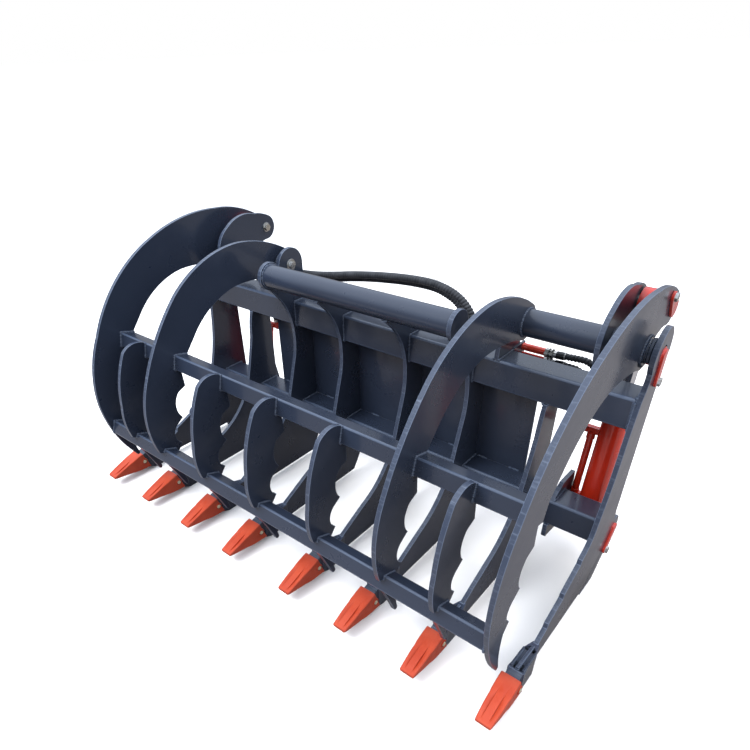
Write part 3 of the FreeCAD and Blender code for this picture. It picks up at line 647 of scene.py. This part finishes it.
# ---- weld beads: a row of overlapping ripples along every seam

RIPPLE_STEP = 0.0055
RIPPLE_SIZES = (("Length", 0.0042), ("Width", 0.0055), ("Unevenness", 0.25))
LARGEST_RIPPLE, RIPPLE_SEED = 1.15, 7
# A seam's line is cut this far outside the plate's face and its beads lie this far outside. It counts
# where the plate, a little inside its face, is within reach.
CUT_OUTSIDE, BEAD_OUTSIDE, PROBE_INSIDE, SEAM_REACH = 0.0004, 0.0008, 0.0005, 0.0014
# The back panel is stitched to the beams: inset of the first run, length and pitch of the runs
PANEL_INSET, PANEL_LIFT = 0.02, 0.0005
STITCH_LENGTH, STITCH_PITCH, STITCH_STEP = 0.042, 0.134, 0.0042


def triangles(node):
    mesh = nodes[node].data
    mesh.calc_loop_triangles()
    points = [v.co for v in mesh.vertices]
    return points, [tuple(t.vertices) for t in mesh.loop_triangles]


def cut_across(node, level):
    """The lines in which an upright plane at this distance from the middle cuts the node's surface."""
    points, faces = triangles(node)
    lines = []
    for face in faces:
        ends = []
        for a, b in zip(face, face[1:] + face[:1]):
            first, second = points[a], points[b]
            low, high = first.x - level, second.x - level
            if (low < 0) != (high < 0):
                ends.append(first.lerp(second, low / (low - high)))
        if len(ends) == 2 and (ends[0] - ends[1]).length > 1e-5:
            lines.append(ends)
    return lines


def ripples(lines, step):
    """Middles and directions of the ripples along the lines."""
    found = []
    for start, end in lines:
        count = max(1, round((end - start).length / step))
        for number in range(count):
            found.append((start.lerp(end, (number + 0.5) / count), (end - start).normalized()))
    return found


def plate_seams(bar, plates):
    """Ripples where a bar's outline meets the two faces of each plate that it passes through."""
    found = []
    for plate in plates:
        tree = BVHTree.FromPolygons(*triangles(plate))
        middle = middle_of_plate(plate)
        for side in (-1, 1):
            face = middle + side * HALF_PLATE
            for place, along in ripples(cut_across(bar, face + side * CUT_OUTSIDE), RIPPLE_STEP):
                distance = tree.find_nearest(Vector((face - side * PROBE_INSIDE, place.y, place.z)))[3]
                if distance is not None and distance < SEAM_REACH:
                    found.append((Vector((face + side * BEAD_OUTSIDE, place.y, place.z)), along))
    return found


def bead_tree():
    """Geometry nodes: a flattened ripple on every point, turned along the seam."""
    tree = bpy.data.node_groups.new("weld_bead", "GeometryNodeTree")
    sockets = tree.interface
    sockets.new_socket("Seam", in_out="INPUT", socket_type="NodeSocketGeometry")
    for name, size in RIPPLE_SIZES:
        sockets.new_socket(name, in_out="INPUT", socket_type="NodeSocketFloat").default_value = size
    sockets.new_socket("Paint", in_out="INPUT", socket_type="NodeSocketMaterial")
    sockets.new_socket("Bead", in_out="OUTPUT", socket_type="NodeSocketGeometry")
    made = {name: tree.nodes.new(kind) for name, kind in (
        ("given", "NodeGroupInput"), ("result", "NodeGroupOutput"),
        ("ripple", "GeometryNodeMeshIcoSphere"), ("smooth", "GeometryNodeSetShadeSmooth"),
        ("place", "GeometryNodeInstanceOnPoints"), ("along", "GeometryNodeInputNamedAttribute"),
        ("turn", "FunctionNodeAlignRotationToVector"), ("size", "ShaderNodeCombineXYZ"),
        ("vary", "FunctionNodeRandomValue"), ("scale", "ShaderNodeVectorMath"),
        ("low", "ShaderNodeMath"), ("real", "GeometryNodeRealizeInstances"),
        ("paint", "GeometryNodeSetMaterial"))}
    link = tree.links.new
    made["ripple"].inputs["Subdivisions"].default_value = 1
    made["along"].data_type = "FLOAT_VECTOR"
    made["along"].inputs["Name"].default_value = "along"
    made["turn"].axis = "Z"
    made["low"].operation = "SUBTRACT"
    made["low"].inputs[0].default_value = 1.0
    made["scale"].operation = "SCALE"
    given = made["given"].outputs
    # A random number's third and fourth inputs and second output are its plain numbers
    link(given["Unevenness"], made["low"].inputs[1])
    link(made["low"].outputs[0], made["vary"].inputs[2])
    made["vary"].inputs[3].default_value = LARGEST_RIPPLE
    made["vary"].inputs["Seed"].default_value = RIPPLE_SEED
    link(given["Width"], made["size"].inputs["X"])
    link(given["Width"], made["size"].inputs["Y"])
    link(given["Length"], made["size"].inputs["Z"])
    link(made["size"].outputs[0], made["scale"].inputs[0])
    link(made["vary"].outputs[1], made["scale"].inputs["Scale"])
    link(made["along"].outputs[0], made["turn"].inputs["Vector"])
    link(made["ripple"].outputs["Mesh"], made["smooth"].inputs[0])
    link(given["Seam"], made["place"].inputs["Points"])
    link(made["smooth"].outputs[0], made["place"].inputs["Instance"])
    link(made["turn"].outputs[0], made["place"].inputs["Rotation"])
    link(made["scale"].outputs[0], made["place"].inputs["Scale"])
    link(made["place"].outputs[0], made["real"].inputs[0])
    link(made["real"].outputs[0], made["paint"].inputs["Geometry"])
    link(given["Paint"], made["paint"].inputs["Material"])
    link(made["paint"].outputs[0], made["result"].inputs[0])
    return tree


def socket_of(tree, name):
    """The identifier of a node tree's input."""
    for item in tree.interface.items_tree:
        if item.name == name and item.in_out == "INPUT":
            return item.identifier


def weld(name, body, seams, tree):
    mesh = bpy.data.meshes.new(name)
    mesh.from_pydata([place for place, along in seams], [], [])
    direction = mesh.attributes.new("along", "FLOAT_VECTOR", "POINT")
    for number, (place, along) in enumerate(seams):
        direction.data[number].vector = along
    piece = new_object(name, mesh)
    beads = piece.modifiers.new("beads", "NODES")
    beads.node_group = tree
    beads[socket_of(tree, "Paint")] = weld_and_highlight_paint
    settle(piece, body)


def stitches(start, end, length, pitch):
    """Short runs of weld, evenly spaced from start to end."""
    whole = (end - start).length
    count = int((whole - length) / pitch) + 1
    first = (whole - (count - 1) * pitch - length) / 2
    run = (end - start).normalized()
    return [(start + run * (first + number * pitch), start + run * (first + number * pitch + length))
            for number in range(count)]


def weld_all():
    tree = bead_tree()
    tines = ["side_plate_left", "side_plate_right"] + numbered("tine", 2, 7)
    ears = numbered("loader_ear", 1, 4)
    seams = plate_seams("lower_beam", tines + ears + ["cylinder_lug_left", "cylinder_lug_right"])
    seams += plate_seams("top_beam", tines + ears + ["pivot_ear_left", "pivot_ear_right"])
    seams += plate_seams("guard_tube", numbered("tine", 3, 6))
    low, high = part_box("back_panel")
    for z in (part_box("lower_beam")[1].z + PANEL_LIFT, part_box("top_beam")[0].z - PANEL_LIFT):
        left, right = Vector((low.x + PANEL_INSET, low.y, z)), Vector((high.x - PANEL_INSET, low.y, z))
        seams += ripples(stitches(left, right, STITCH_LENGTH, STITCH_PITCH), STITCH_STEP)
    weld("frame_welds", "frame", seams, tree)
    arms = numbered("jaw_arm", 1, 4)
    plates = arms + numbered("jaw_rib", 1, 5)
    seams = plate_seams("jaw_upper_beam", plates) + plate_seams("jaw_lower_beam", plates)
    seams += plate_seams("pivot_tube_left", arms[:2] + ["jaw_lug_left"])
    seams += plate_seams("pivot_tube_right", arms[2:] + ["jaw_lug_right"])
    weld("jaw_welds", "jaw", seams, tree)


# ---- hoses: a spiral guard wound round each hose, and crimped ends

ELBOW_TOP = (0.2108, 0.5792)
ELBOW_LOW = (0.2040, 0.5196)
# Radius, and the points that lead the hose
HOSES = {
    "cylinder_hose_upper": (0.0105, (
        (0.645, 0.172, 0.740), (0.703, 0.172, 0.744), (0.768, 0.174, 0.748), (0.804, 0.184, 0.704),
        (0.803, 0.204, 0.640), (0.800, *ELBOW_TOP))),
    "cylinder_hose_lower": (0.0105, (
        (0.645, 0.172, 0.708), (0.698, 0.172, 0.712), (0.748, 0.175, 0.706), (0.771, 0.182, 0.650),
        (0.771, 0.202, 0.577), (0.770, *ELBOW_LOW))),
    "crossover_hose_upper": (0.0130, (
        (0.455, 0.172, 0.740), (0.397, 0.172, 0.740), (0.336, 0.171, 0.776), (0.300, 0.172, 0.832),
        (0.250, 0.172, 0.865), (0.190, 0.173, 0.882), (0.130, 0.174, 0.889), (-0.005, 0.175, 0.882),
        (-0.202, 0.174, 0.857), (-0.366, 0.172, 0.825), (-0.472, 0.172, 0.809), (-0.590, 0.172, 0.801),
        (-0.690, 0.175, 0.786), (-0.752, 0.180, 0.746), (-0.788, 0.190, 0.690), (-0.799, 0.208, 0.632),
        (-0.800, *ELBOW_TOP))),
    "crossover_hose_lower": (0.0130, (
        (0.455, 0.172, 0.708), (0.397, 0.172, 0.708), (0.334, 0.178, 0.734), (0.280, 0.193, 0.792),
        (0.240, 0.199, 0.829), (0.186, 0.203, 0.849), (0.128, 0.205, 0.861), (-0.006, 0.205, 0.858),
        (-0.205, 0.203, 0.835), (-0.372, 0.200, 0.802), (-0.492, 0.194, 0.784), (-0.590, 0.188, 0.767),
        (-0.674, 0.182, 0.736), (-0.728, 0.180, 0.690), (-0.755, 0.184, 0.634), (-0.769, 0.201, 0.577),
        (-0.770, *ELBOW_LOW))),
}
GUARD_SIZES = (("Radius", 0.01), ("Pitch", 0.012), ("Depth", 0.0030), ("Step", 0.0015))
GUARD_ROOT, GUARD_FULLNESS, GUARD_SIDES = 0.0016, 0.7, 20
# How far the end fitting's shank, shell and mouth stand out from the hose, and the crimps on its shell
SHANK_RISE, SHELL_RISE, MOUTH_RISE = 0.0016, 0.0028, 0.0012
CRIMPS, FIRST_CRIMP, CRIMP_PITCH, CRIMP_DEPTH = 5, 0.0125, 0.0052, 0.0007

# The slim pipe beside each barrel, from the block to the lower port: where its thicker upper half starts,
# and its profile in distance and radius
PIPE_PLACE, PIPE_START = 0.8205, 0.088
PIPE_PROFILE = ((0.0, 0.0150), (0.012, 0.0150), (0.0135, 0.0125), (0.222, 0.0125), (0.2235, 0.0150),
                (0.2455, 0.0150))


def hose_line(name, points):
    line = bpy.data.curves.new(name, "CURVE")
    line.dimensions = "3D"
    spline = line.splines.new("NURBS")
    spline.points.add(len(points) - 1)
    for point, place in zip(spline.points, points):
        point.co = (*at(*place), 1.0)
    spline.order_u = 3
    spline.use_endpoint_u = True
    spline.resolution_u = 24
    return new_object(name, line)


def wound_tree():
    """Geometry nodes: a tube whose surface rises and falls in a spiral along its line."""
    tree = bpy.data.node_groups.new("spiral_guard", "GeometryNodeTree")
    sockets = tree.interface
    sockets.new_socket("Line", in_out="INPUT", socket_type="NodeSocketGeometry")
    for name, size in GUARD_SIZES:
        sockets.new_socket(name, in_out="INPUT", socket_type="NodeSocketFloat").default_value = size
    sockets.new_socket("Cover", in_out="INPUT", socket_type="NodeSocketMaterial")
    sockets.new_socket("Hose", in_out="OUTPUT", socket_type="NodeSocketGeometry")
    link = tree.links.new

    def node(kind, **values):
        made = tree.nodes.new(kind)
        for key, value in values.items():
            setattr(made, key, value)
        return made

    def math_node(operation, *values):
        made = node("ShaderNodeMath", operation=operation)
        for socket, value in zip(made.inputs, values):
            if isinstance(value, float):
                socket.default_value = value
            else:
                link(value, socket)
        return made.outputs[0]

    def named(name):
        read = node("GeometryNodeInputNamedAttribute", data_type="FLOAT")
        read.inputs["Name"].default_value = name
        return read.outputs["Attribute"]

    def kept_as(name, line, value):
        """Keeps a value on the points of a line, under a name."""
        store = node("GeometryNodeStoreNamedAttribute", data_type="FLOAT", domain="POINT")
        store.inputs["Name"].default_value = name
        link(line, store.inputs["Geometry"])
        link(node("GeometryNodeSplineParameter").outputs[value], store.inputs["Value"])
        return store.outputs[0]

    given = node("NodeGroupInput").outputs
    even = node("GeometryNodeResampleCurve", mode="LENGTH")
    link(given["Line"], even.inputs["Curve"])
    link(given["Step"], even.inputs["Length"])
    section = node("GeometryNodeCurvePrimitiveCircle")
    section.inputs["Resolution"].default_value = GUARD_SIDES
    link(given["Radius"], section.inputs["Radius"])
    tube = node("GeometryNodeCurveToMesh")
    tube.inputs["Fill Caps"].default_value = True
    link(kept_as("travel", even.outputs[0], "Length"), tube.inputs["Curve"])
    link(kept_as("around", section.outputs["Curve"], "Factor"), tube.inputs["Profile Curve"])

    turns = math_node("DIVIDE", named("travel"), given["Pitch"])
    phase = math_node("FRACT", math_node("ADD", turns, named("around")))
    wave = math_node("ABSOLUTE", math_node("SINE", math_node("MULTIPLY", phase, math.pi)))
    rise = math_node("MULTIPLY", math_node("POWER", wave, GUARD_FULLNESS), given["Depth"])
    outward = node("ShaderNodeVectorMath", operation="SCALE")
    link(node("GeometryNodeInputNormal").outputs[0], outward.inputs[0])
    link(rise, outward.inputs["Scale"])
    wound = node("GeometryNodeSetPosition")
    link(tube.outputs[0], wound.inputs["Geometry"])
    link(outward.outputs[0], wound.inputs["Offset"])
    smooth = node("GeometryNodeSetShadeSmooth")
    link(wound.outputs[0], smooth.inputs[0])
    cover = node("GeometryNodeSetMaterial")
    link(smooth.outputs[0], cover.inputs["Geometry"])
    link(given["Cover"], cover.inputs["Material"])
    link(cover.outputs[0], node("NodeGroupOutput").inputs[0])
    return tree


def wind_hoses():
    tree = wound_tree()
    for node, (radius, points) in HOSES.items():
        line = hose_line(node + "_line", points)
        wound = line.modifiers.new("spiral", "NODES")
        wound.node_group = tree
        wound[socket_of(tree, "Radius")] = radius - GUARD_ROOT
        wound[socket_of(tree, "Cover")] = rubber
        mesh = plain_mesh(line)
        bpy.data.objects.remove(line)
        piece = new_object(node + "_wound", mesh)
        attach(piece, "frame")
        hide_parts(node)


def ferrule_profile(radius):
    """Shank, crimped shell and nut for a hose of this radius."""
    shank, shell = radius + SHANK_RISE, radius + SHELL_RISE
    steps = [(0.0006, shank, 0), (0.010, shank, 1), (0.0104, shell, 1)]
    for number in range(CRIMPS):
        start = FIRST_CRIMP + number * CRIMP_PITCH
        steps += [(start, shell, 1), (start + 0.0006, shell - CRIMP_DEPTH, 1),
                  (start + 0.0018, shell - CRIMP_DEPTH, 1), (start + 0.0024, shell, 1)]
    return steps + [(0.0386, shell, 0), (0.0412, shell - 0.0002, 0), (0.0420, radius + MOUTH_RISE, 0)]


def crimp_hoses():
    """Crimped steel ferrule and nut on both ends of every hose."""
    for node, (radius, points) in HOSES.items():
        for end, (first, second) in (("start", points[:2]), ("end", points[:-3:-1])):
            direction = (Vector(second) - Vector(first)).normalized()
            turned("%s_%s_ferrule" % (node, end), at(*first), direction, ferrule_profile(radius),
                   [zinc, dark_steel], "frame")


def sleeve_pipes():
    """The thicker upper half of the slim pipe beside each barrel."""
    low, high = at(0, *CYLINDER_PIN), at(0, *ROD_PIN)
    up = (high - low).normalized()
    profile = [(distance, radius, 0) for distance, radius in PIPE_PROFILE]
    for body, x in (("barrel_left", -PIPE_PLACE), ("barrel_right", PIPE_PLACE)):
        start = low + up * PIPE_START + Vector((x, 0, 0))
        turned(body + "_pipe", start, up, profile, [barrel_paint], body)


# ---- teeth

TOOTH_PLACES = (-0.980, -0.710, -0.429, -0.160, 0.160, 0.429, 0.710, 0.980)
TOOTH_BASE = -0.580
TOOTH_EDGE = 0.0007
# Stations from the cheeks' rear to the tip: distance from the base, half width, top, bottom, groove depth
TOOTH_STATIONS = (
    (-0.0280, 0.0330, -0.0078, -0.0106, 0.0), (-0.0180, 0.0330, 0.0210, -0.0104, 0.0),
    (-0.0080, 0.0330, 0.0500, -0.0100, 0.0), (0.0000, 0.0330, 0.0740, -0.0096, 0.0),
    (0.0120, 0.0330, 0.0716, -0.0090, 0.0), (0.0280, 0.0330, 0.0672, -0.0078, 0.0),
    (0.0460, 0.0329, 0.0621, -0.0048, 0.0), (0.0585, 0.0325, 0.0586, -0.0024, 0.0012),
    (0.0690, 0.0312, 0.0556, -0.0004, 0.0040), (0.0774, 0.0308, 0.0530, 0.0010, 0.0054),
    (0.0899, 0.0308, 0.0492, 0.0030, 0.0064), (0.1045, 0.0303, 0.0444, 0.0052, 0.0067),
    (0.1212, 0.0293, 0.0388, 0.0072, 0.0060), (0.1369, 0.0282, 0.0334, 0.0090, 0.0041),
    (0.1484, 0.0273, 0.0294, 0.0102, 0.0012), (0.1557, 0.0266, 0.0266, 0.0118, 0.0),
    (0.1594, 0.0260, 0.0240, 0.0140, 0.0))
# Half width of the rib between the grooves, slope of the cheeks and of the grooves' sides
MIDDLE_RIB, DRAFT = 0.0115, 0.0012
# The lock in each cheek, and its profile: a boss, a dark recess and the pin's head
LOCK_SIDE, LOCK_BACK, LOCK_HEIGHT = 0.027, -0.579, 0.032
LOCK_PROFILE = [(0.0, 0.0150, 1), (0.0066, 0.0150, 1), (0.0084, 0.0130, 1), (0.0086, 0.0108, 2),
                (0.0040, 0.0104, 2), (0.0040, 0.0080, 0), (0.0094, 0.0078, 0), (0.0104, 0.0064, 0)]


def tooth_section(half, top, bottom, groove):
    """Round a tooth at one station: the right half from the rib's corner to the bottom, then the left."""
    soft = min(0.0032, (top - bottom) * 0.22 + 0.0002)
    outer = MIDDLE_RIB + DRAFT + groove * 0.95
    right = [(MIDDLE_RIB, top), (MIDDLE_RIB + DRAFT, top - groove), (outer, top - groove * 0.35),
             (outer + 0.003, top - groove * 0.12), (half - soft * 0.9, top - 0.0004), (half, top - soft),
             (half - DRAFT, bottom + soft), (half - soft - DRAFT, bottom)]
    return right + [(-x, z) for x, z in reversed(right)]


def tooth_mesh():
    """Wedge with rounded corners, cheeks that reach back beside the nose, and two grooves to the tip."""
    work = bmesh.new()
    rings = []
    for away, half, top, bottom, groove in TOOTH_STATIONS:
        rings.append([work.verts.new((x, TOOTH_BASE - away, z))
                      for x, z in tooth_section(half, top, bottom, groove)])
    skin(work, rings)
    return finished_mesh(work, "tooth")


def make_teeth():
    for number, x in enumerate(TOOTH_PLACES, 1):
        mesh = tooth_mesh()
        mesh.transform(Matrix.Translation(at(x, 0, 0)))
        mesh.shade_smooth()
        mesh.set_sharp_from_angle(angle=math.radians(TURNED_LIMIT))
        mesh.materials.append(tooth_paint)
        piece = new_object("tooth_%d_forged" % number, mesh)
        break_edges(piece, TOOTH_EDGE, TURNED_LIMIT)
        settle(piece, "frame")
        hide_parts("tooth_%d" % number)
        for name, side in (("left", -1), ("right", 1)):
            turned("tooth_%d_lock_%s" % (number, name), at(x + side * LOCK_SIDE, LOCK_BACK, LOCK_HEIGHT),
                   (side, 0, 0), LOCK_PROFILE, [yellow_zinc, tooth_paint, dark_steel], "frame",
                   sides=24)


place_camera()
studio()
dress_all()
dress_couplings()
weld_all()
wind_hoses()
crimp_hoses()
sleeve_pipes()
make_teeth()
